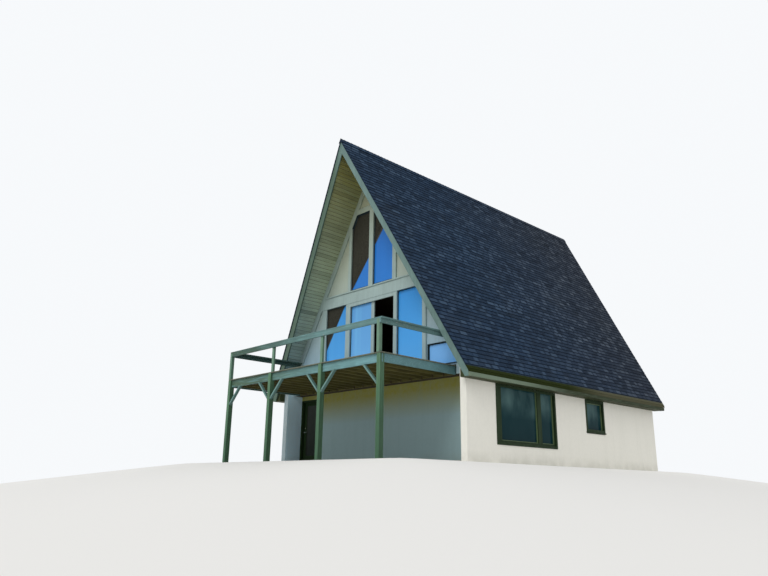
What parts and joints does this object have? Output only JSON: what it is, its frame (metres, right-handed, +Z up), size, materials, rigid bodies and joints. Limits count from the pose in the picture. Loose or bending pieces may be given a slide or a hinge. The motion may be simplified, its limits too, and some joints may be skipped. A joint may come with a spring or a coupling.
{
  "type": "a-frame cabin",
  "caption": "Steep-roofed timber cabin over a plain ground storey, with a raised deck on braced posts in front of its glazed gable.",
  "frame": {"origin": "on the ground, on the house's centreline, under the face of the front gable wall", "axes": "+Z up, +Y back along the ridge, +X to the right seen from the front"},
  "size_m": [8.514, 14.014, 9.8746],
  "materials": {
    "stucco": "matte",
    "concrete": "matte",
    "shingle": "matte",
    "sage_trim": "satin",
    "green_post": "satin",
    "cream_board": "satin",
    "white_trim": "satin",
    "dark_frame": "satin",
    "bare_wood": "matte",
    "pane": "gloss",
    "lever_metal": "satin"
  },
  "bodies": {
    "house": {"floor_slab": "concrete", "left_wall": "stucco", "right_wall": "stucco", "rear_wall": "stucco", "front_wall": "stucco", "door_head_wall": "stucco", "door_frame": "dark_frame", "side_window_frame": "dark_frame", "side_window_glass": "pane", "small_window_frame": "dark_frame", "small_window_glass": "pane", "main_floor": "bare_wood", "loft_floor": "bare_wood", "left_roof": "cream_board", "right_roof": "cream_board", "left_shingles": "shingle", "right_shingles": "shingle", "ridge_cap": "shingle", "front_rake_boards": "sage_trim", "rear_rake_boards": "sage_trim", "eave_boards": "sage_trim", "eave_soffits": "cream_board", "front_gable": "cream_board", "rear_gable": "cream_board", "gable_trim": "white_trim", "upper_window_frame": "dark_frame", "upper_window_glass": "pane", "front_window_frame": "dark_frame", "front_window_glass": "pane", "patio_door_frame": "white_trim", "fixed_door_panel": "white_trim", "sliding_door_panel": "white_trim", "patio_door_glass": "pane", "deck_joists": "bare_wood", "deck_rim": "sage_trim", "deck_boards": "bare_wood", "deck_posts": "green_post", "knee_braces": "sage_trim", "rail_posts": "green_post", "rail_boards": "sage_trim", "rail_caps": "sage_trim"},
    "door": {"ground_door": "dark_frame", "ground_door_glass": "pane", "door_hardware": "lever_metal"}
  },
  "joints": [
    {"name": "door_hinge", "type": "hinge", "parent": "house", "child": "door", "pos_m": [-2.711, 0.503, 1.07], "axis": [0, 0, -1], "range_deg": [0, 100]}
  ]
}
